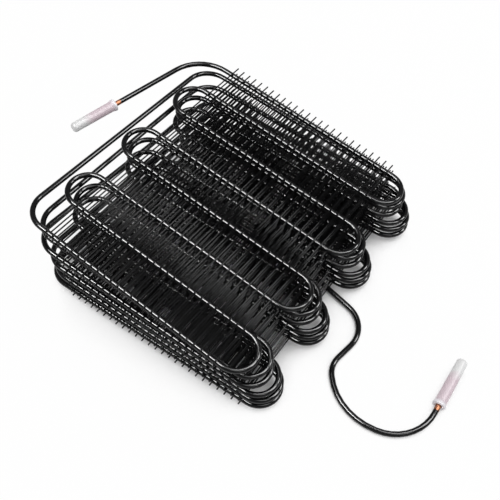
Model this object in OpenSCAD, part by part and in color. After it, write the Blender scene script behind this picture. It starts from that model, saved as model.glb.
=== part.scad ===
/* [Tube] */
// Outside diameter of the steel tube
tube_od = 4.76; // [3.6:0.01:6.4]
// Wall of the tube
tube_wall = 0.7; // [0.4:0.05:1]
// Centre to centre of neighbouring straight runs; each return bend spans one pitch
run_pitch = 35; // [28:0.5:45]
// Length of a straight run between the centres of its two return bends
run_len = 191; // [184:1:240]

/* [Wires] */
// Diameter of a fin wire
wire_d = 1.3; // [0.8:0.05:2]
// Fin wires on one side of a layer
wire_count = 26; // [10:1:27]
// Spacing of the fin wires along the runs
wire_step = 7.2; // [4:0.1:7.5]
// Wire beyond the centre of the rear run
wire_over_rear = 9.5; // [4:0.5:14]
// Wire beyond the centre of the front run
wire_over_front = 4.5; // [4:0.5:14]

/* [Stack] */
// Air between the wires of layers 1 and 2, at the right bends
air_right_1 = 5.9; // [0.3:0.1:15]
// Air between the wires of layers 2 and 3, at the right bends
air_right_2 = 0.4; // [0.3:0.1:15]
// Air between the wires of layers 3 and 4, at the right bends
air_right_3 = 0.4; // [0.3:0.1:15]
// Air between the wires of layers 4 and 5, at the right bends
air_right_4 = 0.4; // [0.3:0.1:15]
// Air between the wires of layers 5 and 6, at the right bends
air_right_5 = 1.4; // [0.3:0.1:15]
// Air between the wires of layers 1 and 2, at the left bends
air_left_1 = 4.6; // [3:0.1:20]
// Air between the wires of layers 2 and 3, at the left bends
air_left_2 = 3.4; // [3:0.1:20]
// Air between the wires of layers 3 and 4, at the left bends
air_left_3 = 9.6; // [3:0.1:20]
// Air between the wires of layers 4 and 5, at the left bends
air_left_4 = 6; // [3:0.1:20]
// Air between the wires of layers 5 and 6, at the left bends
air_left_5 = 5.3; // [3:0.1:20]
// How far the top layer stands to the left of the bottom layer
lean_1 = 13.6; // [0:0.1:16]
// How far layer 2 stands to the left of the bottom layer
lean_2 = 10.2; // [0:0.1:16]
// How far layer 3 stands to the left of the bottom layer
lean_3 = 9.1; // [0:0.1:16]
// How far layer 4 stands to the left of the bottom layer
lean_4 = 2.3; // [0:0.1:16]
// How far layer 2 stands behind the bottom layer
slip_2 = 4.1; // [0:0.1:8]
// Turn of the top layer, clockwise from above
twist_1 = 2.6; // [0:0.1:4]
// Turn of layer 2, clockwise from above
twist_2 = 0.8; // [0:0.1:4]

/* [Crossovers] */
// Clear gap between the left return bends and the side tubes outside them
side_gap = 2.7; // [2:0.1:8]
// How much further out the first side tube stands at its front end
side_1_front = 0.8; // [0:0.1:4]
// How much further out the first side tube stands at its rear end
side_1_rear = 5; // [0:0.1:8]
// Radius of the corner bends, at the tube axis
corner_r = 23; // [12:0.5:23.5]
// Swelling of the tube across a hand-made bend
bend_swell = 0.02; // [0.015:0.005:0.06]

/* [Inlet leg] */
// Corner of the inlet leg beyond the left end of the rear run
inlet_out = 34.9; // [32.5:0.1:50]
// Radius of the inlet bend, at the tube axis
inlet_r = 37.8; // [15:0.1:40]
// Inlet leg from its corner to the open end of the tube
inlet_len = 136; // [110:1:180]
// Outward splay of the inlet leg from square to the runs
inlet_splay = 12.8; // [8:0.1:20]

/* [Outlet leg] */
// Clear gap between the side tubes and the return tube outside them
return_gap = 0.3; // [0.3:0.1:6]
// Angle of the return run under the stack to the other runs
return_slant = 13.5; // [0:0.5:14]
// Corner of the first sweep beyond the centres of the right bends
sweep_1_out = 44.6; // [44:0.1:70]
// Corner of the first sweep in front of the middle of the stack
sweep_1_front = 0.8; // [-4:0.1:8]
// Radius of the first sweep, at the tube axis
sweep_1_r = 28.3; // [20:0.1:34]
// Turn of the first sweep, to the front
sweep_1_angle = 86.1; // [75:0.1:90]
// Distance between the corners of sweeps 1 and 2
sweep_1_len = 52; // [48:0.5:60]
// Radius of the second sweep, at the tube axis
sweep_2_r = 21.7; // [12:0.1:23]
// Turn of the second sweep, back to the right
sweep_2_angle = 46.2; // [30:0.1:48]
// Distance between the corners of sweeps 2 and 3
sweep_2_len = 44; // [43.5:0.5:60]
// Radius of the third sweep, at the tube axis
sweep_3_r = 54.2; // [40:0.1:55]
// Turn of the third sweep, to the rear
sweep_3_angle = 63.4; // [50:0.1:64]
// Distance between the corners of sweeps 3 and 4
sweep_3_len = 67.2; // [67:0.1:80]
// Radius of the fourth sweep, at the tube axis
sweep_4_r = 37.3; // [25:0.1:38]
// Turn of the fourth sweep, to the rear
sweep_4_angle = 82.3; // [60:0.1:83]
// Fourth corner to the open end of the tube
sweep_4_len = 71; // [66:1:120]

/* [Caps] */
// Length of a push-on cap
cap_len = 47; // [40:0.5:60]
// Diameter of the lip at the open end
cap_lip_d = 11.4; // [10.4:0.1:14]
// Length of the lip
cap_lip_len = 2.2; // [1:0.1:5]
// Length of the cone from the lip down to the body
cap_flare_len = 2.6; // [1:0.1:6]
// Diameter of the body next to the lip
cap_d = 9.8; // [9.5:0.1:10.2]
// Diameter of the body at the closed end
cap_tip_d = 9.2; // [8.4:0.1:9.4]
// Rounding of the closed end
cap_round = 2.2; // [1:0.1:2.4]
// Length of tube taken up by the cap
cap_grip = 31; // [15:0.5:34]
// Diameter of the blind hole past the end of the tube
cap_hole_d = 3.2; // [1:0.1:3.4]

/* [Hidden] */
$fn = 64;
tube_color = [0.03, 0.03, 0.035];
wire_color = [0.05, 0.05, 0.055];
cap_color = [0.93, 0.93, 0.95];
runs = 8;
layers = 6;
tube_r = tube_od / 2;
bore_d = tube_od - 2 * tube_wall;
lap = 0.3;
wire_lift = tube_r + wire_d / 2;
layer_h = tube_od + 2 * wire_d;
bend_r = run_pitch / 2;
end_x = run_len / 2;
side_x = end_x + bend_r + tube_od + side_gap;
return_x = side_x + tube_od + return_gap;

// The corner bends stay within the straight ends that lead out to the side tubes.
side_lead = 1;
side_corner_r = min(corner_r, side_x - end_x - side_lead);
air_right = [air_right_1, air_right_2, air_right_3, air_right_4, air_right_5];
air_left = [air_left_1, air_left_2, air_left_3, air_left_4, air_left_5];
lean = [lean_1, lean_2, lean_3, lean_4, 0, 0];
slip = [0, slip_2, 0, 0, 0, 0];
twist = [twist_1, twist_2, 0, 0, 0, 0];
side_front = [side_1_front, 0, 0, 0, 0];
side_rear = [side_1_rear, 0, 0, 0, 0];

// The bottom layer lies on the return run; each layer above adds its own height and the air.
base_z = tube_od + layer_h / 2;
function height(air, k) = k == layers ? base_z : height(air, k + 1) + layer_h + air[k - 1];
function tilt(k) = asin((height(air_left, k) - height(air_right, k)) / run_len);
function middle(k) = [-lean[k - 1], slip[k - 1], (height(air_left, k) + height(air_right, k)) / 2];
function turned(p, a) = [p[0] * cos(a) - p[1] * sin(a), p[0] * sin(a) + p[1] * cos(a), p[2]];

// A point of a layer's own plane, where it stands in the stack.
function seat(k, x, y) = middle(k) + turned([x * cos(tilt(k)), y, -x * sin(tilt(k))], -twist[k - 1]);
function run_y(i) = ((runs + 1) / 2 - i) * run_pitch;

// Corners of the side tube from the front of layer k to the rear of the layer under it.
function side_tube(k) = [
    seat(k, -end_x, run_y(runs)),
    seat(k, -side_x - side_front[k - 1], run_y(runs)),
    seat(k + 1, -side_x - side_rear[k - 1], run_y(1)),
    seat(k + 1, -end_x, run_y(1))
];

inlet_corner = seat(1, -end_x - inlet_out, run_y(1));
inlet_end = inlet_corner + inlet_len * turned([0, -1, 0], -inlet_splay);

// Corners of the outlet leg: along the left side, under the stack and out in four sweeps.
function heading(a) = [cos(a), sin(a), 0];
heading_1 = -return_slant - sweep_1_angle;
heading_2 = heading_1 + sweep_2_angle;
heading_3 = heading_2 + sweep_3_angle;
heading_4 = heading_3 + sweep_4_angle;
cap_rest = cap_lip_d / 2;
rise = (cap_rest - tube_r) / 2;
return_start = seat(layers, -return_x, run_y(runs));
sweep_1 = [end_x + sweep_1_out, -sweep_1_front, tube_r];
return_corner = sweep_1 + (return_start[0] - sweep_1[0]) * [1, -tan(return_slant), 0];
sweep_2 = sweep_1 + sweep_1_len * heading(heading_1);
sweep_3 = sweep_2 + sweep_2_len * heading(heading_2);
sweep_4 = sweep_3 + sweep_3_len * heading(heading_3) + [0, 0, rise];
outlet_end = sweep_4 + sweep_4_len * heading(heading_4)
    + [0, 0, rise * sweep_4_len / (sweep_4_len - cap_grip)];
outlet_path = [
    seat(layers, -end_x, run_y(runs)), return_start, return_corner,
    sweep_1, sweep_2, sweep_3, sweep_4, outlet_end
];
outlet_bends = [0, corner_r, corner_r, sweep_1_r, sweep_2_r, sweep_3_r, sweep_4_r, 0];

function unit(v) = v / norm(v);
function toward(path, i) = unit(path[i + 1] - path[i]);
function bend_angle(path, i) = acos(toward(path, i - 1) * toward(path, i));
function setback(path, bends, i) = bends[i] == 0 ? 0 : bends[i] * tan(bend_angle(path, i) / 2);

// Straight parts of a path between its rounded corners.
function straights(path, bends) = [
    for (i = [0 : len(path) - 2])
        let (u = toward(path, i))
            [path[i] + u * setback(path, bends, i), path[i + 1] - u * setback(path, bends, i + 1)]
];

// The same path made a little longer at both ends.
function longer(path) = let (n = len(path) - 1) [
    for (i = [0 : n])
        i == 0 ? path[0] - toward(path, 0) : i == n ? path[n] + toward(path, n - 1) : path[i]
];

// Puts the children's X, Y and Z on the given directions at a point.
module on_axes(x, y, z, at) {
    multmatrix([
        [x[0], y[0], z[0], at[0]],
        [x[1], y[1], z[1], at[1]],
        [x[2], y[2], z[2], at[2]]
    ])
        children();
}

// Puts the children's Z along a direction at a point.
module along(dir, at) {
    z = unit(dir);
    x = unit(cross(abs(z[2]) < 0.9 ? [0, 0, 1] : [1, 0, 0], z));
    on_axes(x, cross(z, x), z, at)
        children();
}

// Puts the children's plane where a layer stands in the stack.
module at_layer(k) {
    translate(middle(k))
        rotate([0, tilt(k), -twist[k - 1]])
            children();
}

// Rod through the corners of a path; its bends are a hair thicker than the straights that lap into them.
module rod(path, bends, d) {
    parts = straights(path, bends);
    last = len(parts) - 1;
    for (i = [0 : last]) {
        u = toward(parts[i], 0);
        a = parts[i][0] - (i > 0 ? lap : 0) * u;
        b = parts[i][1] + (i < last ? lap : 0) * u;
        along(u, a)
            cylinder(d = d, h = norm(b - a));
    }
    for (i = [1 : last]) {
        u = toward(path, i - 1);
        n = unit(cross(cross(u, toward(path, i)), u));
        on_axes(-n, u, cross(u, n), parts[i - 1][1] + n * bends[i])
            rotate_extrude(angle = bend_angle(path, i))
                translate([bends[i], 0])
                    circle(d = d + bend_swell);
    }
}

// Stretch of tube through the corners of a path, open at both ends.
module tube(path, bends) {
    color(tube_color)
        difference() {
            rod(path, bends, tube_od);
            rod(longer(path), bends, bore_d);
        }
}

// Eight runs and seven return bends in their own plane, longer by the given length at both ends.
module serpentine(d, extra) {
    for (i = [1 : runs]) {
        more = i == 1 || i == runs ? extra : 0;
        translate([-end_x - more, run_y(i), 0])
            rotate([0, 90, 0])
                cylinder(d = d, h = run_len + more);
    }
    for (i = [1 : runs - 1])
        translate([(i % 2 == 1 ? 1 : -1) * end_x, (run_y(i) + run_y(i + 1)) / 2, 0])
            rotate([0, 0, i % 2 == 1 ? -90 : 90])
                rotate_extrude(angle = 180)
                    translate([bend_r, 0])
                        circle(d = d);
}

module layer_tube(k) {
    color(tube_color)
        at_layer(k)
            difference() {
                serpentine(tube_od, 0);
                serpentine(bore_d, 1);
            }
}

module crossover(k) {
    tube(side_tube(k), [0, side_corner_r, side_corner_r, 0]);
}

module inlet_leg() {
    tube([inlet_end, inlet_corner, seat(1, -end_x, run_y(1))], [0, inlet_r, 0]);
}

module outlet_leg() {
    tube(outlet_path, outlet_bends);
}

// Fin wires across one side of a layer, resting on its runs; side is 1 above and -1 below.
module wires(k, side) {
    color(wire_color)
        at_layer(k)
            for (i = [0 : wire_count - 1])
                translate([
                    (i - (wire_count - 1) / 2) * wire_step,
                    run_y(runs) - wire_over_front,
                    side * wire_lift
                ])
                    rotate([-90, 0, 0])
                        cylinder(d = wire_d, h = run_y(1) - run_y(runs) + wire_over_rear + wire_over_front);
}

// Push-on cap over the end of a tube; the tube end stops on the shoulder of the blind hole.
module cap(end, dir) {
    body_len = cap_len - cap_round;
    color(cap_color)
        along(dir, end - cap_grip * unit(dir))
            difference() {
                union() {
                    cylinder(d = cap_lip_d, h = cap_lip_len);
                    translate([0, 0, cap_lip_len])
                        cylinder(d1 = cap_lip_d, d2 = cap_tip_d, h = cap_flare_len);
                    cylinder(d1 = cap_d, d2 = cap_tip_d, h = body_len);
                    translate([0, 0, body_len])
                        rotate_extrude()
                            translate([cap_tip_d / 2 - cap_round, 0])
                                circle(r = cap_round);
                    cylinder(d = cap_tip_d - 2 * cap_round, h = cap_len);
                }
                translate([0, 0, -1])
                    cylinder(d = tube_od, h = cap_grip + 1);
                cylinder(d = cap_hole_d, h = body_len - cap_round);
            }
}

module inlet_cap() {
    cap(inlet_end, inlet_end - inlet_corner);
}

module outlet_cap() {
    cap(outlet_end, outlet_end - sweep_4);
}

layer_tube(1);  // layer_1_tube
layer_tube(2);  // layer_2_tube
layer_tube(3);  // layer_3_tube
layer_tube(4);  // layer_4_tube
layer_tube(5);  // layer_5_tube
layer_tube(6);  // layer_6_tube
crossover(1);  // side_tube_1
crossover(2);  // side_tube_2
crossover(3);  // side_tube_3
crossover(4);  // side_tube_4
crossover(5);  // side_tube_5
inlet_leg();
outlet_leg();
wires(1, 1);  // layer_1_upper_wires
wires(1, -1);  // layer_1_lower_wires
wires(2, 1);  // layer_2_upper_wires
wires(2, -1);  // layer_2_lower_wires
wires(3, 1);  // layer_3_upper_wires
wires(3, -1);  // layer_3_lower_wires
wires(4, 1);  // layer_4_upper_wires
wires(4, -1);  // layer_4_lower_wires
wires(5, 1);  // layer_5_upper_wires
wires(5, -1);  // layer_5_lower_wires
wires(6, 1);  // layer_6_upper_wires
wires(6, -1);  // layer_6_lower_wires
inlet_cap();
outlet_cap();
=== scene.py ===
"""Dresses the stacked wire-on-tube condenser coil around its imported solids."""

import logging
import math
import random
from collections.abc import Callable
from dataclasses import dataclass, field
from enum import Enum

import bpy
from mathutils import Matrix, Vector


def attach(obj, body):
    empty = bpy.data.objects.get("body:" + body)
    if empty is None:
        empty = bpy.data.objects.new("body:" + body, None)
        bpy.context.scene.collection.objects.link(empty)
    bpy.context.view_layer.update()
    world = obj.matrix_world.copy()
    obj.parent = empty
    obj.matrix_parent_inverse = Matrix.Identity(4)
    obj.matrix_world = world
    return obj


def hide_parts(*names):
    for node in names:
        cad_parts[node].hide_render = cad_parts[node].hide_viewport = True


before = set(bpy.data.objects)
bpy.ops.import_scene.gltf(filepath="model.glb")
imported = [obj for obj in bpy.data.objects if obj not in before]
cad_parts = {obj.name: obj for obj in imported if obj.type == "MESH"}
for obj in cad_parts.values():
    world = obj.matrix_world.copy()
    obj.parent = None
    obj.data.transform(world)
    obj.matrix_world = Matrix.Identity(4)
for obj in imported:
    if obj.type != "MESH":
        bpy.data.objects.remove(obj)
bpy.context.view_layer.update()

MM = 0.001
BODY = "root"
LOG = logging.getLogger("condenser_coil")

Colour = tuple[float, float, float]
Value = float | bpy.types.NodeSocket


class Face(Enum):
    """Face of a layer that carries fin wires."""

    UPPER = 1
    LOWER = -1


@dataclass(frozen=True)
class Straight:
    """Straight stretch of the tube, in metres."""

    start: Vector
    end: Vector


@dataclass(frozen=True)
class Bend:
    """Arc of the tube about an axis through a centre."""

    centre: Vector
    axis: Vector
    angle: float


def clear_selection() -> None:
    """Leaves edit mode and deselects every object."""
    if bpy.context.object and bpy.context.object.mode != "OBJECT":
        bpy.ops.object.mode_set(mode="OBJECT")
    bpy.ops.object.select_all(action="DESELECT")


def pick(obj: bpy.types.Object) -> None:
    """Makes one object the only selected and the active one.

    Args:
        obj: The object that the next operators act on.
    """
    clear_selection()
    obj.select_set(True)
    bpy.context.view_layer.objects.active = obj


def select_points(obj: bpy.types.Object, near: Callable[[Vector], bool]) -> None:
    """Selects the vertices that a test accepts and leaves the object in edit mode.

    Args:
        obj: The mesh object, in object mode.
        near: Test of a vertex position.
    """
    bpy.ops.object.mode_set(mode="EDIT")
    bpy.ops.mesh.select_mode(type="VERT")
    bpy.ops.mesh.select_all(action="DESELECT")
    bpy.ops.object.mode_set(mode="OBJECT")
    for vertex in obj.data.vertices:
        vertex.select = near(vertex.co)
    bpy.ops.object.mode_set(mode="EDIT")


def settle(obj: bpy.types.Object, place: Matrix | None = None) -> None:
    """Writes an object's place into its mesh and leaves the object at the origin.

    Args:
        obj: The finished mesh object.
        place: Where to put it first, if it isn't there already.
    """
    pick(obj)
    if place is not None:
        obj.matrix_world = place @ obj.matrix_world
    bpy.ops.object.transform_apply(location=True, rotation=True, scale=True)


def smooth(obj: bpy.types.Object, degrees: float) -> None:
    """Shades an object smooth up to an angle between faces."""
    pick(obj)
    bpy.ops.object.shade_smooth_by_angle(angle=math.radians(degrees))


def repeat(obj: bpy.types.Object, count: int, step: Vector) -> None:
    """Repeats an object's mesh along a line with an applied array.

    Args:
        obj: The mesh object.
        count: How many copies there are in all.
        step: From one copy to the next, in metres.
    """
    pick(obj)
    array = obj.modifiers.new("row", "ARRAY")
    array.count = count
    array.use_relative_offset = False
    array.use_constant_offset = True
    array.constant_offset_displace = step
    bpy.ops.object.modifier_apply(modifier=array.name)


def hand_over(
    obj: bpy.types.Object, name: str, slot: str, material: bpy.types.Material, *nodes: str
) -> None:
    """Names a finished piece, paints it and ties it to the coil.

    Args:
        obj: The finished piece.
        name: Its name in the scene.
        slot: Name of a material slot; not used.
        material: Its finish.
        nodes: The solids that it stands for.
    """
    obj.name = name
    obj.data.name = name
    obj.data.materials.clear()
    obj.data.materials.append(material)
    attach(obj, BODY)
    if nodes:
        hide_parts(*nodes)
    LOG.info("%s: %d faces", name, len(obj.data.polygons))


class Nodes:
    """Small helper that adds and links shader nodes."""

    def __init__(self, tree: bpy.types.NodeTree) -> None:
        """Starts with an empty tree."""
        self.tree = tree
        tree.nodes.clear()

    def add(self, kind: str, **settings: object) -> bpy.types.Node:
        """Adds a node.

        Args:
            kind: Node type without its ShaderNode prefix.
            settings: Node properties to set.

        Returns:
            The new node.
        """
        prefix = "" if kind.startswith("NodeGroup") else "ShaderNode"
        node = self.tree.nodes.new(prefix + kind)
        for key, value in settings.items():
            setattr(node, key, value)
        return node

    def link(self, source: bpy.types.NodeSocket, target: bpy.types.NodeSocket) -> None:
        """Links an output to an input."""
        self.tree.links.new(source, target)

    def noise(
        self, vector: bpy.types.NodeSocket, scale: float, detail: float
    ) -> bpy.types.NodeSocket:
        """Adds a noise texture.

        Args:
            vector: Where its coordinates come from.
            scale: Waves to a metre.
            detail: How many finer waves are added.

        Returns:
            Its value.
        """
        node = self.add("TexNoise")
        node.inputs["Scale"].default_value = scale
        node.inputs["Detail"].default_value = detail
        self.link(vector, node.inputs["Vector"])
        return node.outputs["Fac"]

    def ranged(
        self, value: bpy.types.NodeSocket, low: float, high: float, to_low: Value, to_high: Value
    ) -> bpy.types.NodeSocket:
        """Maps a range of values to another; a limit may be a socket.

        Args:
            value: The value to map.
            low: Start of the range it comes from.
            high: End of the range it comes from.
            to_low: Start of the range it goes to.
            to_high: End of the range it goes to.

        Returns:
            The mapped value.
        """
        node = self.add("MapRange")
        self.link(value, node.inputs["Value"])
        node.inputs["From Min"].default_value = low
        node.inputs["From Max"].default_value = high
        for name, limit in (("To Min", to_low), ("To Max", to_high)):
            if isinstance(limit, (int, float)):
                node.inputs[name].default_value = limit
            else:
                self.link(limit, node.inputs[name])
        return node.outputs["Result"]

    def mixed(
        self,
        factor: bpy.types.NodeSocket,
        first: Colour | bpy.types.NodeSocket,
        second: Colour | bpy.types.NodeSocket,
    ) -> bpy.types.NodeSocket:
        """Mixes two colours; each may be a socket or a colour.

        Args:
            factor: Share of the second colour.
            first: First colour.
            second: Second colour.

        Returns:
            The mixed colour.
        """
        node = self.add("Mix", data_type="RGBA")
        self.link(factor, node.inputs[0])
        for socket, colour in ((node.inputs[6], first), (node.inputs[7], second)):
            if isinstance(colour, tuple):
                socket.default_value = (*colour, 1)
            else:
                self.link(colour, socket)
        return node.outputs[2]

    def vector(self, operation: str, *values: bpy.types.NodeSocket) -> bpy.types.Node:
        """Adds a sum of vectors.

        Args:
            operation: Blender's name of the sum.
            values: What goes into it.

        Returns:
            The node.
        """
        node = self.add("VectorMath", operation=operation)
        for socket, value in zip(node.inputs, values):
            self.link(value, socket)
        return node

    def sum(self, operation: str, first: Value, second: Value) -> bpy.types.NodeSocket:
        """Joins two values by a sum; each may be a socket or a number.

        Args:
            operation: Blender's name of the sum.
            first: First value.
            second: Second value.

        Returns:
            The result.
        """
        node = self.add("Math", operation=operation)
        for socket, value in zip(node.inputs, (first, second)):
            if isinstance(value, (int, float)):
                socket.default_value = value
            else:
                self.link(value, socket)
        return node.outputs[0]


def shared_group(
    name: str, inputs: list[tuple], outputs: list[tuple]
) -> tuple[Nodes, bpy.types.Node, bpy.types.Node]:
    """Starts a shader node group.

    Args:
        name: Name of the group.
        inputs: Name, socket type and start value of each input.
        outputs: Name and socket type of each output.

    Returns:
        The node helper, the group's input node and its output node.
    """
    tree = bpy.data.node_groups.new(name, "ShaderNodeTree")
    for label, kind, value in inputs:
        socket = tree.interface.new_socket(label, in_out="INPUT", socket_type=kind)
        if value is not None:
            socket.default_value = value
    for label, kind in outputs:
        tree.interface.new_socket(label, in_out="OUTPUT", socket_type=kind)
    nodes = Nodes(tree)
    return nodes, nodes.add("NodeGroupInput"), nodes.add("NodeGroupOutput")


def paint_skin() -> bpy.types.NodeTree:
    """Builds the group for sprayed black paint: faint mottling, uneven gloss and orange peel.

    Returns:
        The node group.
    """
    nodes, start, end = shared_group(
        "paint_skin",
        [
            ("Vector", "NodeSocketVector", None),
            ("Paint", "NodeSocketColor", (0.01, 0.01, 0.01, 1)),
            ("Thin Paint", "NodeSocketColor", (0.03, 0.03, 0.03, 1)),
            ("Gloss Low", "NodeSocketFloat", 0.1),
            ("Gloss High", "NodeSocketFloat", 0.3),
        ],
        [
            ("Color", "NodeSocketColor"),
            ("Roughness", "NodeSocketFloat"),
            ("Height", "NodeSocketFloat"),
        ],
    )
    vector = start.outputs["Vector"]
    cloud = nodes.noise(vector, 45.0, 3.0)
    speck = nodes.noise(vector, 700.0, 2.0)
    peel = nodes.noise(vector, 420.0, 2.0)
    patches = nodes.ranged(cloud, 0.45, 0.75, 0.0, 1.0)
    specks = nodes.ranged(speck, 0.5, 0.75, 0.2, 1.0)
    thin = nodes.sum("MULTIPLY", patches, specks)
    colour = nodes.mixed(thin, start.outputs["Paint"], start.outputs["Thin Paint"])
    nodes.link(colour, end.inputs["Color"])
    gloss = nodes.ranged(cloud, 0.3, 0.7, start.outputs["Gloss Low"], start.outputs["Gloss High"])
    nodes.link(gloss, end.inputs["Roughness"])
    nodes.link(peel, end.inputs["Height"])
    return nodes.tree


def bare_end() -> bpy.types.NodeTree:
    """Builds the group that masks a bare tube end with a ragged paint edge.

    Returns:
        The node group.
    """
    nodes, start, end = shared_group(
        "bare_end",
        [
            ("Vector", "NodeSocketVector", None),
            ("Tube End", "NodeSocketVector", (0, 0, 0)),
            ("Inward", "NodeSocketVector", (0, 0, 1)),
            ("Reach", "NodeSocketFloat", 0.03),
        ],
        [("Mask", "NodeSocketFloat")],
    )
    ragged_by, edge_half, beside = 0.0009, 0.0003, 0.004
    vector = start.outputs["Vector"]
    apart = nodes.vector("SUBTRACT", vector, start.outputs["Tube End"]).outputs["Vector"]
    along = nodes.vector("DOT_PRODUCT", apart, start.outputs["Inward"]).outputs["Value"]
    across = nodes.vector("CROSS_PRODUCT", apart, start.outputs["Inward"]).outputs["Vector"]
    aside = nodes.vector("LENGTH", across).outputs["Value"]
    ragged = nodes.ranged(nodes.noise(vector, 900.0, 3.0), 0.3, 0.7, -ragged_by, ragged_by)
    past = nodes.sum("SUBTRACT", nodes.sum("ADD", along, ragged), start.outputs["Reach"])
    bare = nodes.ranged(past, -edge_half, edge_half, 1.0, 0.0)
    on_tube = nodes.sum("LESS_THAN", aside, beside)
    nodes.link(nodes.sum("MULTIPLY", bare, on_tube), end.inputs["Mask"])
    return nodes.tree


@dataclass(frozen=True)
class PaintFinish:
    """Gloss black paint over steel."""

    name: str
    paint: Colour
    thin: Colour
    gloss: tuple[float, float]
    peel: float
    specular: float
    peel_depth: float = 0.00012

    def body(
        self, skin: bpy.types.NodeTree
    ) -> tuple[bpy.types.Material, Nodes, bpy.types.Node, bpy.types.Node, bpy.types.Node]:
        """Builds the paint and leaves its nodes open for more.

        Args:
            skin: The shared paint group.

        Returns:
            The material, its node helper, its coordinates, the paint group and the shader.
        """
        material = bpy.data.materials.new(self.name)
        material.use_nodes = True
        nodes = Nodes(material.node_tree)
        place = nodes.add("TexCoord")
        group = nodes.add("Group", node_tree=skin)
        nodes.link(place.outputs["Object"], group.inputs["Vector"])
        group.inputs["Paint"].default_value = (*self.paint, 1)
        group.inputs["Thin Paint"].default_value = (*self.thin, 1)
        group.inputs["Gloss Low"].default_value = self.gloss[0]
        group.inputs["Gloss High"].default_value = self.gloss[1]
        bump = nodes.add("Bump")
        bump.inputs["Strength"].default_value = self.peel
        bump.inputs["Distance"].default_value = self.peel_depth
        nodes.link(group.outputs["Height"], bump.inputs["Height"])
        shader = nodes.add("BsdfPrincipled")
        shader.inputs["Specular IOR Level"].default_value = self.specular
        nodes.link(group.outputs["Color"], shader.inputs["Base Color"])
        nodes.link(group.outputs["Roughness"], shader.inputs["Roughness"])
        nodes.link(bump.outputs["Normal"], shader.inputs["Normal"])
        out = nodes.add("OutputMaterial")
        nodes.link(shader.outputs["BSDF"], out.inputs["Surface"])
        return material, nodes, place, group, shader

    def material(self, skin: bpy.types.NodeTree) -> bpy.types.Material:
        """Builds the plain paint.

        Args:
            skin: The shared paint group.

        Returns:
            The material.
        """
        return self.body(skin)[0]


@dataclass(frozen=True)
class TubeFinish(PaintFinish):
    """Black paint that stops short of the bare copper-washed tube ends."""

    copper: Colour = (0.34, 0.135, 0.06)
    copper_dark: Colour = (0.2, 0.08, 0.045)
    copper_metal: float = 0.6
    copper_rough: float = 0.3

    def dressed(
        self, skin: bpy.types.NodeTree, bare: bpy.types.NodeTree, ends: list[tuple]
    ) -> bpy.types.Material:
        """Builds the paint with its bare ends.

        Args:
            skin: The shared paint group.
            bare: The shared group for a bare end.
            ends: Each open end's place, way into the tube and bare length.

        Returns:
            The material.
        """
        material, nodes, place, group, shader = self.body(skin)
        mask = None
        for point, inward, reach in ends:
            found = nodes.add("Group", node_tree=bare)
            found.inputs["Tube End"].default_value = point
            found.inputs["Inward"].default_value = inward
            found.inputs["Reach"].default_value = reach
            nodes.link(place.outputs["Object"], found.inputs["Vector"])
            end = found.outputs["Mask"]
            mask = end if mask is None else nodes.sum("MAXIMUM", mask, end)
        cloud = nodes.noise(place.outputs["Object"], 260.0, 4.0)
        tarnish = nodes.ranged(cloud, 0.35, 0.7, 0.0, 1.0)
        metal = nodes.mixed(tarnish, self.copper, self.copper_dark)
        nodes.link(nodes.mixed(mask, group.outputs["Color"], metal), shader.inputs["Base Color"])
        nodes.link(nodes.sum("MULTIPLY", mask, self.copper_metal), shader.inputs["Metallic"])
        rougher = nodes.sum("MULTIPLY", mask, self.copper_rough)
        rough = nodes.sum("ADD", rougher, group.outputs["Roughness"])
        nodes.link(rough, shader.inputs["Roughness"])
        return material


@dataclass(frozen=True)
class CapFinish:
    """Milky soft plastic, with the copper tube inside painted on as a pinkish see-through tint and
    a lip ring painted lighter.
    """

    name: str = "milky_plastic"
    milk: Colour = (0.8, 0.8, 0.8)
    copper_show_through: Colour = (0.7, 0.58, 0.63)
    lip_colour_and_lift: Colour = (0.86, 0.84, 0.88)
    rough: tuple[float, float] = (0.34, 0.46)
    specular: float = 0.3
    ripple: float = 0.1
    ripple_depth: float = 0.0001

    def material(self, mouth: Vector, axis: Vector, tube_share: float) -> bpy.types.Material:
        """Builds the plastic for one cap, with its painted copper see-through tint and its lighter
        lip.

        Args:
            mouth: Middle of the cap's open end.
            axis: From the open end to the closed end, as long as the cap.
            tube_share: Share of the cap's length that holds tube.

        Returns:
            The material.
        """
        material = bpy.data.materials.new(self.name)
        material.use_nodes = True
        nodes = Nodes(material.node_tree)
        place = nodes.add("TexCoord").outputs["Object"]
        apart = nodes.add("VectorMath", operation="SUBTRACT")
        nodes.link(place, apart.inputs[0])
        apart.inputs[1].default_value = mouth
        along = nodes.add("VectorMath", operation="DOT_PRODUCT")
        nodes.link(apart.outputs["Vector"], along.inputs[0])
        along.inputs[1].default_value = axis / axis.length_squared
        flow = nodes.noise(place, 180.0, 3.0)
        edge = nodes.sum("ADD", along.outputs["Value"], nodes.ranged(flow, 0.3, 0.7, -0.04, 0.04))
        # Painted see-through: where the cap holds the copper tube, the copper's pinkish tint is
        # painted into the plastic, with a wavy edge.
        copper_show_mask = nodes.ranged(edge, tube_share - 0.1, tube_share + 0.08, 1.0, 0.0)
        # Painted light: the lip ring is painted lighter and bluish-white, partly the plastic's
        # colour and partly to lift the shade on the lip's face.
        lip = nodes.ranged(along.outputs["Value"], 0.03, 0.1, 1.0, 0.0)
        body = nodes.mixed(copper_show_mask, self.milk, self.copper_show_through)
        shader = nodes.add("BsdfPrincipled")
        nodes.link(nodes.mixed(lip, body, self.lip_colour_and_lift), shader.inputs["Base Color"])
        nodes.link(nodes.ranged(flow, 0.3, 0.7, *self.rough), shader.inputs["Roughness"])
        shader.inputs["Specular IOR Level"].default_value = self.specular
        bump = nodes.add("Bump")
        bump.inputs["Strength"].default_value = self.ripple
        bump.inputs["Distance"].default_value = self.ripple_depth
        nodes.link(flow, bump.inputs["Height"])
        nodes.link(bump.outputs["Normal"], shader.inputs["Normal"])
        out = nodes.add("OutputMaterial")
        nodes.link(shader.outputs["BSDF"], out.inputs["Surface"])
        return material


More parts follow.
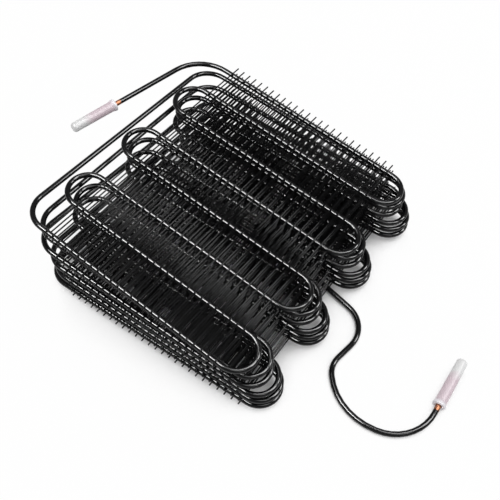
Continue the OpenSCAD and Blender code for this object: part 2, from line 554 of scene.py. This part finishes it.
@dataclass(frozen=True)
class Layer:
    """How one layer stands in the stack, in millimetres and degrees."""

    number: int
    lean: float
    slip: float
    twist: float
    right_z: float
    left_z: float

    def place(self, run_len: float) -> Matrix:
        """Gives the layer's own frame.

        Args:
            run_len: Length of its straight runs.

        Returns:
            The frame, in metres.
        """
        middle = Vector((-self.lean, self.slip, (self.left_z + self.right_z) / 2)) * MM
        tilt = math.asin((self.left_z - self.right_z) / run_len)
        turn = Matrix.Rotation(math.radians(-self.twist), 4, "Z") @ Matrix.Rotation(tilt, 4, "Y")
        return Matrix.Translation(middle) @ turn


@dataclass
class Stack:
    """The layers and the sizes that they share, in millimetres."""

    tube_od: float = 4.76
    tube_wall: float = 0.7
    wire_d: float = 1.3
    run_pitch: float = 35.0
    run_len: float = 191.0
    runs: int = 8
    air_right: tuple[float, ...] = (5.9, 0.4, 0.4, 0.4, 1.4)
    air_left: tuple[float, ...] = (4.6, 3.4, 9.6, 6.0, 5.3)
    leans: tuple[float, ...] = (13.6, 10.2, 9.1, 2.3, 0.0, 0.0)
    slips: tuple[float, ...] = (0.0, 4.1, 0.0, 0.0, 0.0, 0.0)
    twists: tuple[float, ...] = (2.6, 0.8, 0.0, 0.0, 0.0, 0.0)
    layers: list[Layer] = field(default_factory=list)

    def __post_init__(self) -> None:
        """Stacks the layers from the bottom one up."""
        height = self.tube_od + 2 * self.wire_d
        right = left = self.tube_od + height / 2
        for k in range(len(self.leans) - 1, -1, -1):
            layer = Layer(k + 1, self.leans[k], self.slips[k], self.twists[k], right, left)
            self.layers.insert(0, layer)
            if k:
                right += height + self.air_right[k - 1]
                left += height + self.air_left[k - 1]

    @property
    def end_x(self) -> float:
        """Centres of the return bends, from the middle of a run."""
        return self.run_len / 2

    @property
    def bend_r(self) -> float:
        """Radius of a return bend at the tube axis."""
        return self.run_pitch / 2

    def run_y(self, run: int) -> float:
        """Place of a run, counted from the rear."""
        return ((self.runs + 1) / 2 - run) * self.run_pitch

    def seat(self, layer: Layer, x: float, y: float) -> Vector:
        """Gives a point of a layer's own plane where it stands in the stack.

        Args:
            layer: The layer.
            x: Along its runs.
            y: Across its runs.

        Returns:
            The point, in metres.
        """
        return layer.place(self.run_len) @ Vector((x * MM, y * MM, 0))


def rounded(points: list[Vector], radii: list[float]) -> list[Straight | Bend]:
    """Turns the corners of a path into straights and bends.

    Args:
        points: Corners of the path, with its two ends.
        radii: Bend radius at each corner between the ends.

    Returns:
        The stretches in order.
    """
    stretches: list[Straight | Bend] = []
    cursor = points[0]
    for before, corner, after, radius in zip(points, points[1:], points[2:], radii):
        come = (corner - before).normalized()
        leave = (after - corner).normalized()
        angle = come.angle(leave)
        back = radius * math.tan(angle / 2)
        inward = (leave - come * come.dot(leave)).normalized()
        start = corner - come * back
        stretches.append(Straight(cursor, start))
        stretches.append(Bend(start + inward * radius, come.cross(inward), angle))
        cursor = corner + leave * back
    stretches.append(Straight(cursor, points[-1]))
    return stretches


@dataclass
class CoilTube:
    """The one continuous tube: six serpentines, five side tubes and two legs."""

    stack: Stack
    sides: int = 20
    bend_step: float = math.radians(9)
    side_gap: float = 2.7
    side_1_front: float = 0.8
    side_1_rear: float = 5.0
    corner_r: float = 23.0
    inlet_out: float = 34.9
    inlet_r: float = 37.8
    inlet_len: float = 136.0
    inlet_splay: float = 12.8
    return_gap: float = 0.3
    return_slant: float = 13.5
    sweep_1_out: float = 44.6
    sweep_1_front: float = 0.8
    sweep_radii: tuple[float, ...] = (28.3, 21.7, 54.2, 37.3)
    sweep_turns: tuple[float, ...] = (-86.1, 46.2, 63.4, 82.3)
    sweep_lens: tuple[float, ...] = (52.0, 44.0, 67.2, 71.0)
    cap_lip_d: float = 11.4
    cap_grip: float = 31.0
    inlet_bare: float = 6.0
    outlet_bare: float = 4.5
    bore_len: float = 12.0
    merge_gap: float = 1e-6
    smooth_angle: float = 40.0

    def left_of(self, gap: float) -> float:
        """Distance of a side tube from the middle of a layer."""
        return self.stack.end_x + self.stack.bend_r + self.stack.tube_od + gap

    def inlet_points(self) -> list[Vector]:
        """Finds the inlet leg.

        Returns:
            Its open end, its corner and its foot at the top layer.
        """
        stack, top = self.stack, self.stack.layers[0]
        rear = stack.run_y(1)
        corner = stack.seat(top, -stack.end_x - self.inlet_out, rear)
        splay = math.radians(self.inlet_splay)
        end = corner - Vector((math.sin(splay), math.cos(splay), 0)) * self.inlet_len * MM
        return [end, corner, stack.seat(top, -stack.end_x, rear)]

    def outlet_points(self) -> list[Vector]:
        """Finds the outlet leg.

        Returns:
            Its corners from the bottom layer to its open end.
        """
        stack, bottom = self.stack, self.stack.layers[-1]
        front = stack.run_y(stack.runs)
        on_table = stack.tube_od / 2
        rise = (self.cap_lip_d / 2 - on_table) / 2
        last = self.sweep_lens[-1]
        lifts = (0.0, 0.0, rise, rise * last / (last - self.cap_grip))
        side_x = self.left_of(self.side_gap + stack.tube_od + self.return_gap)
        start = stack.seat(bottom, -side_x, front)
        first = Vector((stack.end_x + self.sweep_1_out, -self.sweep_1_front, on_table)) * MM
        heading = -math.radians(self.return_slant)
        under = first + (start.x - first.x) * Vector((1, math.tan(heading), 0))
        points = [stack.seat(bottom, -stack.end_x, front), start, under, first]
        for turn, length, lift in zip(self.sweep_turns, self.sweep_lens, lifts):
            heading += math.radians(turn)
            way = Vector((math.cos(heading), math.sin(heading), 0)) * length + Vector((0, 0, lift))
            points.append(points[-1] + way * MM)
        return points

    def serpentine(self, layer: Layer) -> list[Straight | Bend]:
        """Gives the runs and return bends of one layer.

        Args:
            layer: The layer.

        Returns:
            The stretches from the rear run to the front run.
        """
        stack = self.stack
        turn = layer.place(stack.run_len).to_3x3()
        stretches: list[Straight | Bend] = []
        for run in range(1, stack.runs + 1):
            way = 1 if run % 2 else -1
            y = stack.run_y(run)
            ends = [stack.seat(layer, x * way, y) for x in (-stack.end_x, stack.end_x)]
            stretches.append(Straight(*ends))
            if run < stack.runs:
                centre = stack.seat(layer, way * stack.end_x, y - stack.bend_r)
                stretches.append(Bend(centre, turn @ Vector((0, 0, -way)), math.pi))
        return stretches

    def route(self) -> list[Straight | Bend]:
        """Lays out the whole tube.

        Returns:
            The stretches from the inlet end to the outlet end.
        """
        stack = self.stack
        stretches = rounded(self.inlet_points(), [self.inlet_r * MM])
        front, rear = stack.run_y(stack.runs), stack.run_y(1)
        side_x = self.left_of(self.side_gap)
        for layer, under in zip(stack.layers, stack.layers[1:] + [None]):
            stretches += self.serpentine(layer)
            if under is not None:
                top = layer.number == 1
                corners = [
                    stack.seat(layer, -stack.end_x, front),
                    stack.seat(layer, -side_x - top * self.side_1_front, front),
                    stack.seat(under, -side_x - top * self.side_1_rear, rear),
                    stack.seat(under, -stack.end_x, rear),
                ]
                stretches += rounded(corners, [self.corner_r * MM] * 2)
        radii = [self.corner_r * MM] * 2 + [r * MM for r in self.sweep_radii]
        return stretches + rounded(self.outlet_points(), radii)

    def open_end(self, obj: bpy.types.Object, point: Vector, inward: Vector) -> None:
        """Gives an open end of the tube its wall and a stretch of bore.

        Args:
            obj: The tube.
            point: Middle of the end.
            inward: Way into the tube.
        """
        pick(obj)
        reach = self.stack.tube_od * MM
        select_points(obj, lambda co: (co - point).length < reach)
        bpy.ops.mesh.edge_face_add()
        bpy.ops.mesh.inset(thickness=self.stack.tube_wall * MM)
        depth = inward * self.bore_len * MM
        bpy.ops.mesh.extrude_region_move(TRANSFORM_OT_translate={"value": depth})
        bpy.ops.object.mode_set(mode="OBJECT")

    def build(self) -> bpy.types.Object:
        """Models the tube by extruding and spinning a ring along its route.

        Returns:
            The tube.
        """
        route = self.route()
        first, last = route[0], route[-1]
        way = (first.end - first.start).normalized()
        clear_selection()
        bpy.ops.mesh.primitive_circle_add(
            vertices=self.sides,
            radius=self.stack.tube_od / 2 * MM,
            fill_type="NOTHING",
            location=first.start,
            rotation=way.to_track_quat("Z", "Y").to_euler(),
        )
        obj = bpy.context.object
        settle(obj)
        bpy.ops.object.mode_set(mode="EDIT")
        bpy.ops.mesh.select_all(action="SELECT")
        for stretch in route:
            if isinstance(stretch, Straight):
                step = stretch.end - stretch.start
                bpy.ops.mesh.extrude_region_move(TRANSFORM_OT_translate={"value": step})
            else:
                bpy.ops.mesh.spin(
                    steps=max(3, round(stretch.angle / self.bend_step)),
                    angle=stretch.angle,
                    center=stretch.centre,
                    axis=-stretch.axis,
                )
        bpy.ops.object.mode_set(mode="OBJECT")
        self.open_end(obj, first.start, way)
        self.open_end(obj, last.end, (last.start - last.end).normalized())
        bpy.ops.object.mode_set(mode="EDIT")
        bpy.ops.mesh.select_all(action="SELECT")
        bpy.ops.mesh.remove_doubles(threshold=self.merge_gap)
        bpy.ops.mesh.normals_make_consistent(inside=False)
        bpy.ops.object.mode_set(mode="OBJECT")
        smooth(obj, self.smooth_angle)
        return obj

    def dress(
        self,
        obj: bpy.types.Object,
        finish: TubeFinish,
        skin: bpy.types.NodeTree,
        bare: bpy.types.NodeTree,
    ) -> None:
        """Paints the tube and lets it stand for its solids.

        Args:
            obj: The tube.
            finish: Its paint.
            skin: The shared paint group.
            bare: The shared group for a bare end.
        """
        inlet, outlet = self.inlet_points()[:2], self.outlet_points()[:-3:-1]
        ends = [
            (end, (inner - end).normalized(), (self.cap_grip + free) * MM)
            for (end, inner), free in ((inlet, self.inlet_bare), (outlet, self.outlet_bare))
        ]
        layers = len(self.stack.layers)
        nodes = [f"layer_{k + 1}_tube" for k in range(layers)]
        nodes += [f"side_tube_{k + 1}" for k in range(layers - 1)] + ["inlet_leg", "outlet_leg"]
        hand_over(obj, "coil_tube", "tube", finish.dressed(skin, bare, ends), *nodes)


@dataclass
class FinWires:
    """Fin wires welded across both faces of every layer."""

    stack: Stack
    count: int = 26
    step: float = 7.2
    over_rear: float = 9.5
    over_front: float = 4.5
    sides: int = 12
    nose: float = 0.3
    rear_cut: float = 2.3
    top_cut: float = 0.8
    uneven: float = 0.6
    weld_len: float = 2.5
    weld_width: float = 2.7
    weld_height: float = 1.15
    weld_sink: float = 0.12
    weld_sides: int = 10
    weld_rings: int = 6
    wire_smooth: float = 40.0
    weld_smooth: float = 60.0
    seed: int = 7

    def first_x(self) -> float:
        """Place of the first wire along the runs."""
        return -(self.count - 1) / 2 * self.step

    def wire(self, face: Face) -> bpy.types.Object:
        """Models one wire with rounded cut ends in the frame of a layer.

        Args:
            face: The face of the layer that it lies on.

        Returns:
            The wire.
        """
        stack = self.stack
        rear = stack.run_y(1) + self.over_rear
        front = stack.run_y(stack.runs) - self.over_front
        lift = face.value * (stack.tube_od + stack.wire_d) / 2
        clear_selection()
        bpy.ops.mesh.primitive_cylinder_add(
            vertices=self.sides,
            radius=stack.wire_d / 2 * MM,
            depth=(rear - front) * MM,
            location=Vector((self.first_x(), (rear + front) / 2, lift)) * MM,
            rotation=(math.pi / 2, 0, 0),
        )
        obj = bpy.context.object
        settle(obj)
        bpy.ops.object.mode_set(mode="EDIT")
        bpy.ops.mesh.select_mode(type="FACE")
        bpy.ops.mesh.select_all(action="DESELECT")
        bpy.ops.object.mode_set(mode="OBJECT")
        for polygon in obj.data.polygons:
            polygon.select = abs(polygon.normal.y) > 0.9
        bpy.ops.object.mode_set(mode="EDIT")
        bpy.ops.mesh.bevel(offset=self.nose * MM, segments=2, affect="EDGES")
        bpy.ops.object.mode_set(mode="OBJECT")
        return obj

    def row(self, face: Face, rear_cut: float, draw: random.Random) -> bpy.types.Object:
        """Models all the wires of one face, each cut a little shorter or longer.

        Args:
            face: The face of the layer.
            rear_cut: How much shorter they all are at the rear.
            draw: Source of the uneven lengths.

        Returns:
            The wires, in the frame of a layer.
        """
        obj = self.wire(face)
        points = len(obj.data.vertices)
        middle = sum(v.co.y for v in obj.data.vertices) / points
        repeat(obj, self.count, Vector((self.step * MM, 0, 0)))
        for start in range(0, len(obj.data.vertices), points):
            rear, front = ((cut + draw.uniform(0, self.uneven)) * MM for cut in (rear_cut, 0.0))
            for vertex in obj.data.vertices[start : start + points]:
                vertex.co.y += -rear if vertex.co.y > middle else front
        smooth(obj, self.wire_smooth)
        return obj

    def welds(self, face: Face) -> bpy.types.Object:
        """Models the weld beads where the wires of one face cross the runs.

        Args:
            face: The face of the layer.

        Returns:
            The beads, in the frame of a layer.
        """
        stack = self.stack
        height = face.value * (stack.tube_od / 2 - self.weld_sink)
        place = Vector((self.first_x(), stack.run_y(stack.runs), height)) * MM
        clear_selection()
        bpy.ops.mesh.primitive_uv_sphere_add(
            segments=self.weld_sides, ring_count=self.weld_rings, radius=MM / 2, location=place
        )
        obj = bpy.context.object
        settle(obj)
        bpy.ops.object.mode_set(mode="EDIT")
        bpy.ops.mesh.select_all(action="SELECT")
        bpy.ops.transform.resize(
            value=(self.weld_len, self.weld_width, self.weld_height), center_override=place
        )
        bpy.ops.object.mode_set(mode="OBJECT")
        repeat(obj, self.count, Vector((self.step * MM, 0, 0)))
        repeat(obj, stack.runs, Vector((0, stack.run_pitch * MM, 0)))
        smooth(obj, self.weld_smooth)
        return obj

    def copy(self, obj: bpy.types.Object) -> bpy.types.Object:
        """Copies an object with its own mesh.

        Args:
            obj: The object to copy.

        Returns:
            The copy.
        """
        twin = obj.copy()
        twin.data = obj.data.copy()
        bpy.context.scene.collection.objects.link(twin)
        return twin

    def build(self, wire_paint: bpy.types.Material, weld_paint: bpy.types.Material) -> None:
        """Models, places and paints the wires and beads of every layer.

        Args:
            wire_paint: Finish of the wires.
            weld_paint: Finish of the beads.
        """
        draw = random.Random(self.seed)
        for face in Face:
            beads = self.welds(face)
            for layer in self.stack.layers:
                side = face.name.lower()
                place = layer.place(self.stack.run_len)
                longest = face is Face.UPPER and layer.number == 1
                wires = self.row(face, self.top_cut if longest else self.rear_cut, draw)
                settle(wires, place)
                node = f"layer_{layer.number}_{side}_wires"
                hand_over(wires, f"{node}_dressed", "wire", wire_paint, node)
                welds = self.copy(beads)
                settle(welds, place)
                hand_over(welds, f"layer_{layer.number}_{side}_welds", "tube", weld_paint)
            bpy.data.objects.remove(beads)


@dataclass
class EndCap:
    """Push-on cap over an open end of the tube, in millimetres."""

    node: str
    tube_end: Vector
    way: Vector
    length: float = 47.0
    lip_d: float = 11.39
    lip_len: float = 2.2
    flare_len: float = 2.6
    body_d: float = 9.8
    tip_d: float = 9.2
    tip_round: float = 2.2
    grip: float = 31.0
    bore_d: float = 5.3
    hole_d: float = 3.2
    edge_round: float = 0.5
    tip_steps: int = 5
    sides: int = 40
    smooth_angle: float = 50.0

    def profile(self) -> list[tuple[float, float]]:
        """Outlines the cap with small roundings at its edges.

        Returns:
            Height and radius of each ring, from the blind hole round the mouth to the tip.
        """
        shoulder = self.length - self.tip_round
        waist = self.lip_len + self.flare_len
        rings = [
            (shoulder - self.tip_round, self.hole_d / 2),
            (self.grip, self.hole_d / 2),
            (self.grip, self.bore_d / 2),
            (self.edge_round, self.bore_d / 2),
            (0.0, self.bore_d / 2 + self.edge_round),
            (0.0, self.lip_d / 2 - self.edge_round),
            (0.15, self.lip_d / 2 - 0.15),
            (self.edge_round, self.lip_d / 2),
            (self.lip_len - 0.4, self.lip_d / 2),
            (self.lip_len + 0.3, self.lip_d / 2 - 0.2),
            (waist - 1.0, self.body_d / 2 + 0.12),
            (waist - 0.5, self.body_d / 2),
            (waist + 0.3, self.body_d / 2 - 0.03),
        ]
        for step in range(self.tip_steps + 1):
            angle = math.radians(90 * step / self.tip_steps)
            radius = self.tip_d / 2 - self.tip_round * (1 - math.cos(angle))
            rings.append((shoulder + self.tip_round * math.sin(angle), radius))
        return rings

    def build(self, finish: CapFinish) -> None:
        """Models the cap ring by ring and pushes it on the tube.

        Args:
            finish: Its plastic.
        """
        rings = self.profile()
        clear_selection()
        bpy.ops.mesh.primitive_circle_add(
            vertices=self.sides,
            radius=rings[0][1] * MM,
            fill_type="NGON",
            location=(0, 0, rings[0][0] * MM),
        )
        obj = bpy.context.object
        settle(obj)
        bpy.ops.object.mode_set(mode="EDIT")
        bpy.ops.mesh.select_mode(type="EDGE")
        bpy.ops.mesh.select_all(action="SELECT")
        bpy.ops.mesh.region_to_loop()
        for (z, r), (next_z, next_r) in zip(rings, rings[1:]):
            step = (0, 0, (next_z - z) * MM)
            bpy.ops.mesh.extrude_edges_move(TRANSFORM_OT_translate={"value": step})
            if abs(next_r - r) > 1e-6:
                scale, centre = next_r / r, (0, 0, next_z * MM)
                bpy.ops.transform.resize(value=(scale, scale, 1), center_override=centre)
        bpy.ops.mesh.edge_face_add()
        bpy.ops.mesh.select_all(action="SELECT")
        bpy.ops.mesh.normals_make_consistent(inside=False)
        bpy.ops.object.mode_set(mode="OBJECT")
        smooth(obj, self.smooth_angle)
        mouth = self.tube_end - self.way * self.grip * MM
        turn = self.way.to_track_quat("Z", "Y").to_matrix().to_4x4()
        settle(obj, Matrix.Translation(mouth) @ turn)
        plastic = finish.material(mouth, self.way * self.length * MM, self.grip / self.length)
        hand_over(obj, f"{self.node}_dressed", "cap", plastic, self.node)


@dataclass
class Studio:
    """Pale floor, surround, lamps and the camera."""

    eye: Vector = field(default_factory=lambda: Vector((0.2562, -0.3429, 0.5791)))
    aim: Vector = field(default_factory=lambda: Vector((0.0075, 0.0097, 0.0)))
    lens: float = 55.9
    shift: tuple[float, float] = (-0.004, -0.002)
    fill: float = 0.68
    gloss_fill: float = 0.3
    floor_glow: float = 0.97
    under_glow: float = 0.02
    gloss_glow: float = 0.25
    shade_reach: float = 0.2
    shade_open: tuple[float, float] = (0.35, 0.6)
    shade_samples: int = 8
    floor_size: float = 12.0
    floor_drop: float = 0.0001
    floor_colour: Colour = (0.92, 0.92, 0.92)
    sensor: float = 36.0

    def glow_share_with_painted_shade(self, nodes: Nodes) -> bpy.types.NodeSocket:
        """Sets how much of the floor glows; ambient occlusion withdraws the glow where the coil
        covers it closely, which paints shade under the coil.

        Args:
            nodes: The floor's nodes.

        Returns:
            The share, with a soft step.
        """
        # Painted shade: ambient occlusion, not light, darkens the floor close under the coil.
        near = nodes.add("AmbientOcclusion", samples=self.shade_samples)
        near.inputs["Distance"].default_value = self.shade_reach
        return nodes.ranged(near.outputs["AO"], *self.shade_open, self.under_glow, self.floor_glow)

    def floor(self) -> None:
        """Lays a pale floor that shows white, with painted shade under the coil from ambient
        occlusion over the coil's real shadow on the matte part.
        """
        clear_selection()
        bpy.ops.mesh.primitive_plane_add(size=self.floor_size, location=(0, 0, -self.floor_drop))
        obj = bpy.context.object
        obj.name = "floor"
        material = bpy.data.materials.new("white_floor")
        material.use_nodes = True
        nodes = Nodes(material.node_tree)
        rays = nodes.add("LightPath").outputs
        glossy = nodes.sum("MULTIPLY", rays["Is Glossy Ray"], self.gloss_glow)
        seen = nodes.sum("MAXIMUM", rays["Is Camera Ray"], glossy)
        seen = nodes.sum("MAXIMUM", seen, rays["Is Transmission Ray"])
        # The glow share carries the painted shade under the coil.
        share = nodes.sum("MULTIPLY", seen, self.glow_share_with_painted_shade(nodes))
        matte = nodes.add("BsdfDiffuse")
        matte.inputs["Color"].default_value = (*self.floor_colour, 1)
        glow = nodes.add("Emission")
        mix = nodes.add("MixShader")
        nodes.link(share, mix.inputs[0])
        nodes.link(matte.outputs[0], mix.inputs[1])
        nodes.link(glow.outputs[0], mix.inputs[2])
        nodes.link(mix.outputs[0], nodes.add("OutputMaterial").inputs["Surface"])
        obj.data.materials.append(material)

    def world(self) -> None:
        """Sets a surround that is white to the camera and dimmer to light and gloss."""
        world = bpy.data.worlds.new("surround")
        bpy.context.scene.world = world
        world.use_nodes = True
        nodes = Nodes(world.node_tree)
        rays = nodes.add("LightPath").outputs
        seen = nodes.sum("MAXIMUM", rays["Is Camera Ray"], rays["Is Transmission Ray"])
        unseen = nodes.ranged(rays["Is Glossy Ray"], 0.0, 1.0, self.fill, self.gloss_fill)
        strength = nodes.sum("MAXIMUM", seen, unseen)
        light = nodes.add("Background")
        light.inputs["Color"].default_value = (1, 1, 1, 1)
        nodes.link(strength, light.inputs["Strength"])
        nodes.link(light.outputs[0], nodes.add("OutputWorld").inputs["Surface"])

    def lamp(
        self,
        name: str,
        place: Vector,
        aim: Vector,
        size: tuple[float, float],
        power: float,
        sheen: bool = True,
        along: Vector = Vector((0, 1, 0)),
    ) -> None:
        """Hangs a soft rectangular lamp.

        Args:
            name: Its name.
            place: Where it hangs.
            aim: The point that it faces.
            size: Its width and its length.
            power: Its power, in watts.
            sheen: Whether it lights by gloss alone, or else without gloss.
            along: Way of its length, before it is turned to face its aim.
        """
        data = bpy.data.lights.new(name, "AREA")
        data.shape = "RECTANGLE"
        data.size, data.size_y = size
        data.energy = power
        obj = bpy.data.objects.new(name, data)
        bpy.context.scene.collection.objects.link(obj)
        face = (place - aim).normalized()
        along = (along - face * along.dot(face)).normalized()
        turn = Matrix((along.cross(face), along, face)).transposed()
        obj.matrix_world = Matrix.Translation(place) @ turn.to_4x4()
        obj.visible_diffuse = not sheen
        obj.visible_glossy = sheen

    def camera(self) -> None:
        """Stands the camera at the photograph's angle."""
        data = bpy.data.cameras.new("camera")
        data.lens = self.lens
        data.sensor_width = self.sensor
        data.shift_x, data.shift_y = self.shift
        obj = bpy.data.objects.new("camera", data)
        bpy.context.scene.collection.objects.link(obj)
        obj.location = self.eye
        obj.rotation_euler = (self.aim - self.eye).to_track_quat("-Z", "Y").to_euler()
        bpy.context.scene.camera = obj

    def build(self) -> None:
        """Sets up the whole studio."""
        bpy.context.scene.view_settings.view_transform = "Standard"
        self.camera()
        self.floor()
        self.world()
        middle = Vector((0, 0, 0.05))
        left = Vector((-0.42, 0.02, 0))
        slope = Vector((-0.73, 0, 0.685))
        self.lamp("soft_fill", Vector((0.35, 0.45, 1.6)), middle, (1.4, 1.4), 9, sheen=False)
        self.lamp("front_box", Vector((-0.22, -0.36, 0.72)), middle, (0.48, 0.17), 21)
        self.lamp("overhead", Vector((-0.42, 0.02, 1.25)), left, (0.6, 0.45), 6.8)
        self.lamp("overhead_right", Vector((0.6, -0.33, 1.15)), middle, (0.8, 0.35), 5)
        self.lamp("wire_strip", Vector((0.5, 0.27, 1.2)), middle, (1.2, 0.3), 24)
        self.lamp("side_strip", Vector((1.2, 1.06, 1.3)), middle, (0.34, 1.0), 25, along=slope)


def main() -> None:
    """Builds the coil piece by piece and sets it in the studio."""
    logging.basicConfig(level=logging.INFO, format="%(name)s: %(message)s")
    Studio().build()
    skin, bare = paint_skin(), bare_end()
    stack = Stack()
    tube = CoilTube(stack)
    tube_paint = TubeFinish(
        "tube_paint",
        paint=(0.003, 0.003, 0.0035),
        thin=(0.008, 0.008, 0.0085),
        gloss=(0.08, 0.16),
        peel=0.15,
        specular=0.3,
    )
    tube.dress(tube.build(), tube_paint, skin, bare)
    wire_paint = PaintFinish(
        "wire_paint",
        paint=(0.002, 0.002, 0.0024),
        thin=(0.005, 0.005, 0.0055),
        gloss=(0.08, 0.13),
        peel=0.06,
        specular=0.12,
    )
    weld_paint = PaintFinish(
        "weld_paint",
        paint=(0.003, 0.003, 0.003),
        thin=(0.008, 0.0075, 0.0075),
        gloss=(0.22, 0.4),
        peel=0.4,
        specular=0.25,
    )
    FinWires(stack).build(wire_paint.material(skin), weld_paint.material(skin))
    inlet, outlet = tube.inlet_points(), tube.outlet_points()
    plastic = CapFinish()
    EndCap("inlet_cap", inlet[0], (inlet[0] - inlet[1]).normalized()).build(plastic)
    EndCap("outlet_cap", outlet[-1], (outlet[-1] - outlet[-2]).normalized()).build(plastic)


if __name__ == "__main__":
    main()
